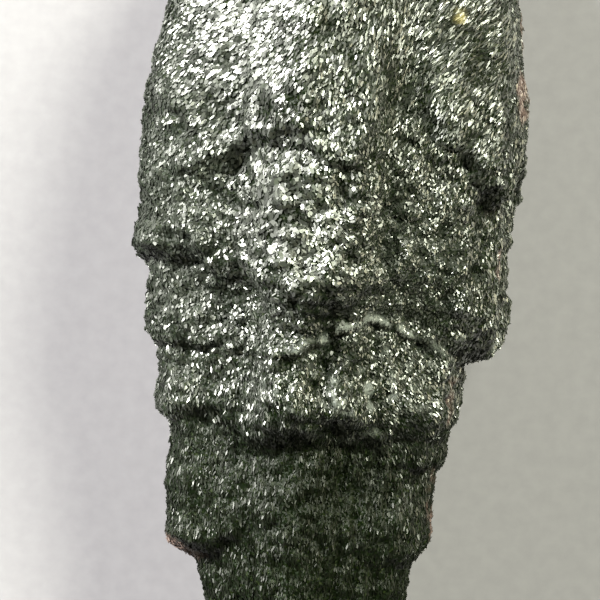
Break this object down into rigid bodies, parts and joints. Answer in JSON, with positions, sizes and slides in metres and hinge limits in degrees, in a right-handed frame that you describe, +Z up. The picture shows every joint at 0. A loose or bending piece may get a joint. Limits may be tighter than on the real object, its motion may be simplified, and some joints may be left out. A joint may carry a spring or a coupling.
{
  "type": "scepter quartz crystal",
  "caption": "Chlorite-coated scepter quartz crystal: a wide six-sided head with a pointed tip steps down in ragged ledges to a narrow stem. Lies on a flat contact face.",
  "frame": {"origin": "on the flat contact face that the crystal lies on, straight under the c-axis, 32 mm from the tip", "axes": "+Y along the c-axis from the broken end of the stem to the tip, +Z up from the surface that the crystal lies on, +X to the right seen from above"},
  "size_m": [0.0302, 0.0763, 0.0259],
  "materials": {
    "chlorite_crust": "dark green crust of fine chlorite plates on quartz, with a scaly, glittering surface"
  },
  "bodies": {
    "root": {"scepter_crystal": "chlorite_crust"}
  },
  "joints": []
}
